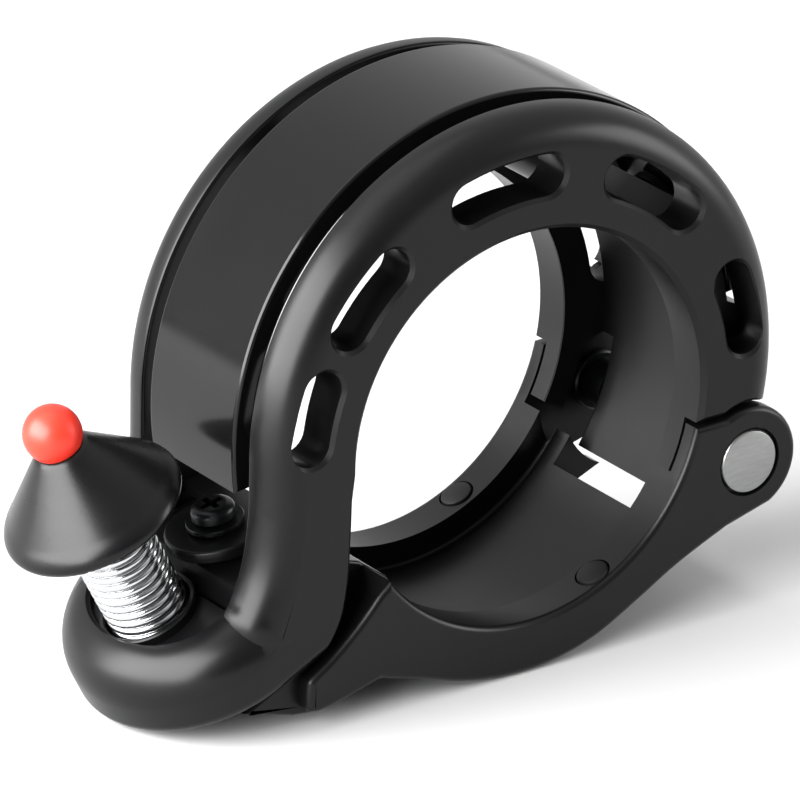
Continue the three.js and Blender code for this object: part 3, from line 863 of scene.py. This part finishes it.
@dataclass
class ClampArm:
    """The moulded arm: ears, two lips, an outer web and the end under the screw tab."""

    edge: float = 0.55
    tab_top: float = -1.6
    tab_bottom: float = -2.9
    toe_top: float = -6.6
    toe_half: float = 9.6
    lip_depth: float = -3.75
    channel_wall: float = 2.2
    pocket_half: float = 5.6
    ear_wall: float = 0.82
    room_radius: float = 5.85
    lap_radius: float = 6.9
    grip_angle: float = -64
    grip_y: float = 9.2

    def outline(self) -> Outline:
        """Side outline of the arm's outer plates."""
        start = math.degrees(math.asin(self.lip_depth / SIZES.bore))
        return [
            *arc(SIZES.pin, SIZES.ear_radius, 118, -62, 4),
            *spline([
                (18.6, -12.8), (14, -14.8), (10, -17), (6, -19), (2, -20), (-2, -20.15),
                (-6, -19.6), (-10, -18.4), (-13.9, -17.3),
            ], 56),
            *spline([
                (-16.5, -18), (-19, -18.55), (-20.1, -18.5), (-20.45, -18), (-20.45, -16.3),
                (-20.1, -15.65), (-18.3, -14.45), (-15.9, -12.4), (-13.9, -10.3),
            ], 40),
            *arc((0, 0), SIZES.bore, -143.8, start),
        ]

    def end_outline(self) -> Outline:
        """Side outline of the narrow end between the frame's cheeks."""
        tab = SIZES.tab
        return [
            (-10, -14), (-10, -11.5), (-13.2, -9.1), (-16.4, -8.1),
            tab.point(2.2, self.tab_top), tab.point(-2.7, self.tab_top),
            *arc(SIZES.pin, SIZES.sweep_radius - 0.5, 181.35, 189.6, 0.6),
            (-22.4, -17.2), (-12, -17.2),
        ]

    def toe_outline(self) -> Outline:
        """Side outline of the toe under the foot."""
        seat, above = SIZES.seat, self.toe_top
        return [
            seat.point(7.0, above), seat.point(-0.2, above), (-25.45, -17.75), (-24.9, -18.0),
            (-22.9, -18.5), (-20.9, -19.05), (-18.9, -19.3), (-16.4, -19.0), (-12, -17.9),
            (-12, -14.2),
        ]

    def build(self) -> Object:
        """The arm in one piece."""
        tab = SIZES.tab.matrix()
        half, inner = SIZES.half_width, SIZES.cheek_inner
        channel = [
            *arc((0, 0), SIZES.bore + self.channel_wall, -128, -15, 2), (12, 4), (-8, 4),
        ]
        pocket = [
            (-8, -11), (-13, -10.9), (-17.3, -9.6), (-22.4, -10.6), (-21.7, -16.9),
            (-14, -15.7), (-8, -16),
        ]
        corners = ((16, -30), (25, -35), (25, -40.3), (18.2, -41.5), (16, -41.5))
        window = [polar((0, 0), r, a) for r, a in corners]
        screw_slot = [*arc((0, 0), 1.6, 90, 270, 9), *arc((1.6, 0), 1.6, -90, 90, 9)]
        pin = along_y(*SIZES.pin)
        recess, depth = SIZES.pin_head + 0.22, half - self.ear_wall
        bore = [(0, -20), (recess, -20), (recess, -depth), (1.45, -depth)]
        bore += [(r, -y) for r, y in reversed(bore)]
        lap, near = self.lap_radius, self.room_radius
        room = [(0, -9.5), (lap, -9.5), (lap, -7.2), (near, -7.2)]
        room += [(r, -y) for r, y in reversed(room)]
        base = side_slab("arm_shell", self.outline(), rounded(-half, half, self.edge, self.edge, 5))
        narrow = rounded(-inner + 0.3, inner - 0.3, 0.25, 0.25, 3)
        wide = rounded(-self.toe_half, self.toe_half, 0.4, 0.4, 4)
        between = [(-self.pocket_half, 0), (self.pocket_half, 0)]
        steps = [
            (Cut.ADD, side_slab("arm_end", self.end_outline(), narrow)),
            (Cut.ADD, side_slab("arm_toe", self.toe_outline(), wide)),
            (Cut.REMOVE, side_slab("channel", channel, rounded(-inner, inner, 0.35, 0.35, 4))),
            (Cut.REMOVE, side_slab("pocket", pocket, between)),
            (Cut.REMOVE, turned("hinge_room", room, pin, 120)),
            (Cut.REMOVE, side_slab("window", window, [(-5.25, 0), (5.4, 0)])),
            (Cut.REMOVE, plan_slab("screw_slot", screw_slot, [(-4, 0), (-0.5, 0)], SIZES.tab)),
            (Cut.REMOVE, box(
                "nut_pocket", (-2.4, -2.4, -5.5), (2.4, 2.4, self.tab_bottom), tab,
            )),
            (Cut.REMOVE, turned("pin_bore", bore, pin, 72)),
        ]
        for side in (-1, 1):
            steps.append((Cut.REMOVE, rod("grip_hole", 1.45, 15, 17.6, self.grip_matrix(side))))
        return weld(shape(base, steps))

    def grip_matrix(self, side: int) -> Matrix:
        """Local +Z from the bore's axis out through a lip; side is -1 in front."""
        return stand(0, side * self.grip_y, 0, math.pi / 2 - math.radians(self.grip_angle))

    def build_plug(self, side: int) -> Object:
        """A small rubber plug in a lip."""
        profile = [(0, 15.75), (1.1, 15.77), (1.25, 15.85), (1.32, 16.0), (1.32, 17.4), (0, 17.4)]
        name = "grip_plug_front_rubber" if side < 0 else "grip_plug_rear_rubber"
        return turned(name, profile, self.grip_matrix(side), 40)

    def dress(self, nylon: Material, rubber: Material) -> None:
        """Builds and dresses the arm and its plugs."""
        finish(self.build(), nylon, Body.ARM, ["clamp_arm"])
        finish(self.build_plug(-1), rubber, Body.ARM, ["grip_plug_front"])
        finish(self.build_plug(1), rubber, Body.ARM, ["grip_plug_rear"])


@dataclass
class Fasteners:
    """Clamp screw, washer and nut, and the rear cover's screws."""

    shank: float = 1.15
    tip: float = -4.7
    head: float = 1.75
    recess_bar: float = 0.26
    nut_half: float = 2.1

    def cross(self, size: float, low: float, high: float, matrix: Matrix) -> list[Step]:
        """Two crossed bars that cut a cross recess."""
        half, bar = size / 2, self.recess_bar
        bars = [((-half, -bar), (half, bar)), ((-bar, -half), (bar, half))]
        return [(Cut.REMOVE, box("recess", (*a, low), (*b, high), matrix)) for a, b in bars]

    def build_clamp_screw(self) -> Object:
        """Pan-headed screw with a cross recess."""
        r, shank, tip = self.head, self.shank, self.tip
        profile = [
            (0, tip), (shank - 0.25, tip), (shank, tip + 0.3), (shank, 0.8),
            (r - 0.08, 0.8), (r, 0.88), (r, 1.35),
            *dome((0.95, 1.35), (0.8, 0.55), 0.15, 8), (0, 1.92),
        ]
        matrix = SIZES.tab.matrix()
        screw = turned("clamp_screw_body", profile, matrix, 56)
        return shape(screw, self.cross(1.9, 1.25, 2.5, matrix))

    def build_washer(self) -> Object:
        """Flat washer with eased rims."""
        profile = [(1.4, 0.2), (2.22, 0.2), (2.3, 0.27), (2.3, 0.52), (2.22, 0.6), (1.4, 0.6)]
        return turned("clamp_washer_ring", profile, SIZES.tab.matrix(), 56, ring=True)

    def build_nut(self) -> Object:
        """Square nut with eased edges."""
        half = self.nut_half
        plan = [(-half, -half), (half, -half), (half, half), (-half, half)]
        nut = plan_slab("clamp_square_nut", plan, rounded(self.tip, -3.15, 0.2, 0.2, 3), SIZES.tab)
        return shape(nut, [(Cut.REMOVE, rod("thread", 1.7, -6, 0, SIZES.tab.matrix()))])

    def cover_screw(self) -> Object:
        """One cover screw along local +Z, the pattern of the set."""
        profile = [
            (0, 3.6), (0.9, 3.6), (0.9, 9.85), (1.5, 9.85), (1.6, 9.95), (1.6, 10.55),
            *dome((0.75, 10.55), (0.8, 0.3), 0.3, 6), (0, 10.87),
        ]
        screw = turned("cover_screw_pattern", profile, Matrix.Scale(MM, 4), 40)
        return shape(screw, self.cross(1.6, 10.45, 12, Matrix.Scale(MM, 4)))

    def build_cover_screws(self, material: Material) -> Object:
        """All cover screws, one set on points by a node tree.

        Args:
            material: Material that the tree sets.

        Returns:
            A plain mesh object.
        """
        pattern = self.cover_screw()
        tree = bpy.data.node_groups.new("screws_on_points", "GeometryNodeTree")
        face = tree.interface
        face.new_socket("Points", in_out="INPUT", socket_type="NodeSocketGeometry")
        screw_in = face.new_socket("Screw", in_out="INPUT", socket_type="NodeSocketObject")
        turn_in = face.new_socket("Turn", in_out="INPUT", socket_type="NodeSocketFloat")
        given = add(tree, "NodeGroupInput")
        info = add(tree, "GeometryNodeObjectInfo", Object=given.outputs["Screw"])
        turn = add(tree, "ShaderNodeCombineXYZ", X=-math.pi / 2, Y=given.outputs["Turn"])
        placed = add(
            tree, "GeometryNodeInstanceOnPoints", Points=given.outputs["Points"],
            Instance=info.outputs["Geometry"], Rotation=turn.outputs[0],
        )
        end_tree(tree, placed.outputs[0], material)
        bm = bmesh.new()
        for x, z in SIZES.cover_screws():
            bm.verts.new((x * MM, 0, z * MM))
        points = mesh_object("cover_screw_set", bm, Matrix.Identity(4))
        values = {screw_in.identifier: pattern, turn_in.identifier: 0.0}
        return grow(points, tree, values, [pattern])

    def dress(self, oxide: Material, steel: Material) -> None:
        """Builds and dresses all fasteners."""
        finish(self.build_clamp_screw(), oxide, Body.SCREW, ["clamp_screw"])
        finish(self.build_washer(), oxide, Body.WASHER, ["clamp_washer"])
        finish(self.build_nut(), steel, Body.ARM, ["clamp_nut"])
        screws = self.build_cover_screws(oxide)
        names = [f"cover_screw_{i}" for i in (1, 2, 3, 4)]
        finish(screws, oxide, Body.FRAME, names)


def end_tree(tree: Tree, result: bpy.types.NodeSocket, material: Material) -> None:
    """Ends a tree in Realize Instances, Set Material and its output."""
    tree.interface.new_socket("Result", in_out="OUTPUT", socket_type="NodeSocketGeometry")
    real = add(tree, "GeometryNodeRealizeInstances", Geometry=result)
    dressed = add(tree, "GeometryNodeSetMaterial", Geometry=real.outputs[0], Material=material)
    add(tree, "NodeGroupOutput", Result=dressed.outputs[0])


def grow(obj: Object, tree: Tree, values: dict, spare: list[Object]) -> Object:
    """Runs a geometry node tree on an object and keeps its result as a plain mesh.

    Args:
        obj: The object whose mesh is the tree's geometry input.
        tree: The node tree.
        values: Socket identifiers with their values.
        spare: Objects that are removed afterwards.

    Returns:
        The same object with the grown mesh.
    """
    step = obj.modifiers.new("grow", "NODES")
    step.node_group = tree
    for identifier, value in values.items():
        step[identifier] = value
    graph = bpy.context.evaluated_depsgraph_get()
    result = bpy.data.meshes.new_from_object(obj.evaluated_get(graph))
    obj.modifiers.clear()
    obj.data = result
    for other in spare:
        bpy.data.objects.remove(other)
    return obj


@dataclass
class Striker:
    """The sprung striker: anchor, close-wound spring, stem, cone and ball."""

    spring_radius: float = 3.25
    wire: float = 0.72
    wire_gap: float = 0.04
    spring_low: float = -1.75
    spring_high: float = 10.75
    cone_radius: float = 7.2
    rim_low: float = 9.7
    rim_high: float = 11.2
    apex: float = 18.85
    ball_radius: float = 2.28
    ball_height: float = 17.95
    bend_low: float = 0.3
    bend_high: float = 9.6

    def build_spring(self, material: Material) -> Object:
        """Close-wound coil from a node tree.

        Args:
            material: Material that the tree sets.

        Returns:
            A plain mesh object.
        """
        tree = bpy.data.node_groups.new("wound_spring", "GeometryNodeTree")
        face = tree.interface
        face.new_socket("Geometry", in_out="INPUT", socket_type="NodeSocketGeometry")
        sockets = {
            name: face.new_socket(name, in_out="INPUT", socket_type="NodeSocketFloat")
            for name in ("Radius", "Length", "Turns", "Wire")
        }
        given = add(tree, "NodeGroupInput")
        coil = add(
            tree, "GeometryNodeCurveSpiral", Resolution=40, Rotations=given.outputs["Turns"],
            Start_Radius=given.outputs["Radius"], End_Radius=given.outputs["Radius"],
            Height=given.outputs["Length"],
        )
        section = add(
            tree, "GeometryNodeCurvePrimitiveCircle", Resolution=14, Radius=given.outputs["Wire"],
        )
        wire = add(
            tree, "GeometryNodeCurveToMesh", Curve=coil.outputs[0],
            Profile_Curve=section.outputs[0], Fill_Caps=True,
        )
        end_tree(tree, wire.outputs[0], material)
        length = self.spring_high - self.spring_low
        pitch = self.wire + self.wire_gap
        values = {
            "Radius": (self.spring_radius - self.wire / 2) * MM,
            "Length": length * MM,
            "Turns": length / pitch,
            "Wire": self.wire / 2 * MM,
        }
        base = mesh_object("striker_spring_coil", bmesh.new(), Matrix.Identity(4))
        spring = grow(base, tree, {sockets[k].identifier: v for k, v in values.items()}, [])
        seat = SIZES.seat
        low = Matrix.Translation((0, 0, self.spring_low * MM))
        turn = Matrix.Rotation(math.radians(-seat.lean), 4, "Y")
        spring.data.transform(Matrix.Translation((seat.x * MM, 0, seat.z * MM)) @ turn @ low)
        return spring

    def build_cone(self) -> Object:
        """The cone with its rounded rim and the recess for the spring."""
        slope = self.cone_radius / (self.apex - self.rim_high + 0.55)
        r, low, high = self.cone_radius, self.rim_low, self.rim_high
        profile = [(0, 11.4), (3.5, 11.4), (3.5, low + 0.15), (3.65, low), (6.55, low)]
        for a in np.linspace(0.2, math.pi / 2, 7):
            profile.append((6.6 + 0.6 * math.sin(a), low + 0.6 * (1 - math.cos(a))))
        shoulder = slope * (self.apex - high - 0.4)
        a, b, c = (r, high - 0.9), (r, high - 0.4), (shoulder, high + 0.4)
        for t in np.linspace(0, 1, 8):
            rest = 1 - t
            point = (rest ** 2 * a[i] + 2 * t * rest * b[i] + t * t * c[i] for i in (0, 1))
            profile.append(tuple(point))
        for h in np.linspace(high + 0.6, 16.3, 16):
            profile.append((slope * (self.apex - h), float(h)))
        top = slope * (self.apex - 16.5)
        profile += [(top - 0.02, 16.5), (top - 0.25, 16.62), (0, 16.62)]
        return turned("striker_cone_cap", profile, SIZES.seat.matrix(), 128)

    def build_ball(self) -> Object:
        """The ball on the cone's tip."""
        r, middle = self.ball_radius, self.ball_height
        side = dome((0, middle), (r, r), -math.pi / 2, 49)[1:-1]
        profile = [(0, middle - r), *side, (0, middle + r)]
        return turned("striker_ball_tip", profile, SIZES.seat.matrix(), 72)

    def build_inner(self) -> list[Object]:
        """Anchor, its screw and the stem, mostly hidden in the spring."""
        inner = self.spring_radius - self.wire - 0.15
        seat = SIZES.seat.matrix()
        anchor = [(0, -2.1), (inner, -2.1), (inner, 1.6), (1.6, 2.2), (0, 2.2)]
        screw = [
            (0, -6.2), (1.8, -6.2), (2.0, -6.0), (2.0, -5.2), (0.9, -5.2), (0.9, 0.3), (0, 0.3),
        ]
        stem = [
            (0, 8.2), (inner - 0.2, 8.2), (inner, 8.4), (inner, 11.1), (0.8, 11.1), (0.8, 18.2),
            (0, 18.2),
        ]
        return [
            turned("spring_anchor_plug", anchor, seat, 48),
            turned("anchor_screw_body", screw, seat, 48),
            turned("striker_stem_plug", stem, seat, 48),
        ]

    def dress(
        self, nylon: Material, red: Material, wire: Material, steel: Material, oxide: Material,
    ) -> None:
        """Builds and dresses the striker and its spring."""
        anchor, screw, stem = self.build_inner()
        finish(anchor, steel, Body.FRAME, ["spring_anchor"])
        finish(screw, oxide, Body.FRAME, ["anchor_screw"])
        finish(stem, steel, Body.STRIKER, ["striker_stem"])
        finish(self.build_cone(), nylon, Body.STRIKER, ["striker_cone"])
        finish(self.build_ball(), red, Body.STRIKER, ["striker_ball"])
        spring = self.build_spring(wire)
        spring.data.shade_smooth()
        low, high = SIZES.seat.point(0, self.bend_low), SIZES.seat.point(0, self.bend_high)
        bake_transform(spring)
        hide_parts("striker_spring")
        LOG.info("%s: %d faces, blended", spring.name, len(spring.data.polygons))


# ---- stage ----


@dataclass
class Studio:
    """Pale floor, soft lights and the camera."""

    floor_z: float = -20.3
    distance: float = 652.334
    lens: float = 383.46
    azimuth: float = 34.3949
    elevation: float = 22.9274
    target: tuple[float, float, float] = (-4.661, 0.0, -0.322)
    bright_side: tuple[float, float, float] = (0.5203, 0.76, 0.35)
    darkest: float = 0.06

    def floor(self) -> None:
        """A wide plain floor."""
        bm = bmesh.new()
        bmesh.ops.create_grid(bm, x_segments=1, y_segments=1, size=3.0)
        bm.transform(Matrix.Translation((0, 0, self.floor_z * MM)))
        obj = mesh_object("floor", bm, Matrix.Identity(4))
        made = bpy.data.materials.new("studio_paper")
        made.use_nodes = True
        shader = made.node_tree.nodes["Principled BSDF"]
        shader.inputs["Base Color"].default_value = linear("#b4b4b4")
        shader.inputs["Roughness"].default_value = 0.9
        obj.data.materials.append(made)

    def light(self, name: str, place: tuple, size: tuple, power: float) -> None:
        """A rectangular soft light that faces the bell.

        Args:
            name: Its name.
            place: Position in metres.
            size: Width and height in metres.
            power: Watts.
        """
        data = bpy.data.lights.new(name, "AREA")
        data.shape = "RECTANGLE"
        data.size, data.size_y = size
        data.energy = power
        obj = new_object(name, data)
        obj.location = place
        obj.rotation_euler = (-Vector(place)).to_track_quat("-Z", "Y").to_euler()

    def world(self) -> None:
        """Bright surroundings, darker behind the camera."""
        world = bpy.data.worlds.new("studio")
        world.use_nodes = True
        tree = world.node_tree
        tree.nodes.clear()
        where = add(tree, "ShaderNodeTexCoord").outputs["Generated"]
        facing = add(
            tree, "ShaderNodeVectorMath", {"operation": "DOT_PRODUCT"}, i0=where,
            i1=self.bright_side,
        )
        level = add(
            tree, "ShaderNodeMapRange", Value=facing.outputs["Value"], From_Min=-0.75,
            From_Max=0.35, To_Min=self.darkest, To_Max=1.0,
        )
        glow = add(tree, "ShaderNodeBackground", Color=(1, 1, 1, 1), Strength=level.outputs[0])
        add(tree, "ShaderNodeOutputWorld", Surface=glow.outputs[0])
        bpy.context.scene.world = world

    def camera(self) -> None:
        """The camera, level and unshifted."""
        a, e = math.radians(self.azimuth), math.radians(self.elevation)
        view = Vector((math.sin(a) * math.cos(e), math.cos(a) * math.cos(e), -math.sin(e)))
        data = bpy.data.cameras.new("camera")
        data.lens = self.lens
        data.sensor_width = 36
        data.clip_start, data.clip_end = 0.01, 20
        obj = new_object("camera", data)
        obj.location = Vector(self.target) * MM - view * self.distance * MM
        obj.rotation_euler = view.to_track_quat("-Z", "Y").to_euler()
        bpy.context.scene.camera = obj

    def build(self) -> None:
        """Sets the whole stage."""
        self.floor()
        self.world()
        self.camera()
        self.light("overhead", (-0.15, 0.1, 0.6), (0.5, 0.5), 1.0)
        self.light("left_softbox", (-0.503, 0.03, 0.218), (0.8, 0.46), 21.0)
        self.light("right_fill", (0.42, -0.24, 0.13), (0.25, 0.25), 1.4)
        bpy.context.scene.view_settings.view_transform = "Standard"


def main() -> None:
    """Builds every sub-assembly in order."""
    logging.basicConfig(level=logging.INFO, format="%(name)s: %(message)s")
    nylon = MOULDED_NYLON.material()
    steel = TURNED_STEEL.material()
    oxide = BLACK_OXIDE.material()
    rubber = PLUG_RUBBER.material()
    Studio().build()
    Frame().dress(nylon)
    SoundingBand().dress(GLOSS_LACQUER.material(), oxide, rubber)
    Hinge().dress(steel, oxide)
    ClampArm().dress(nylon, rubber)
    Fasteners().dress(oxide, steel)
    cone, ball, wire = (given.material() for given in (CONE_NYLON, RED_ACETAL, PLATED_WIRE))
    Striker().dress(cone, ball, wire, steel, oxide)


if __name__ == "__main__":
    main()
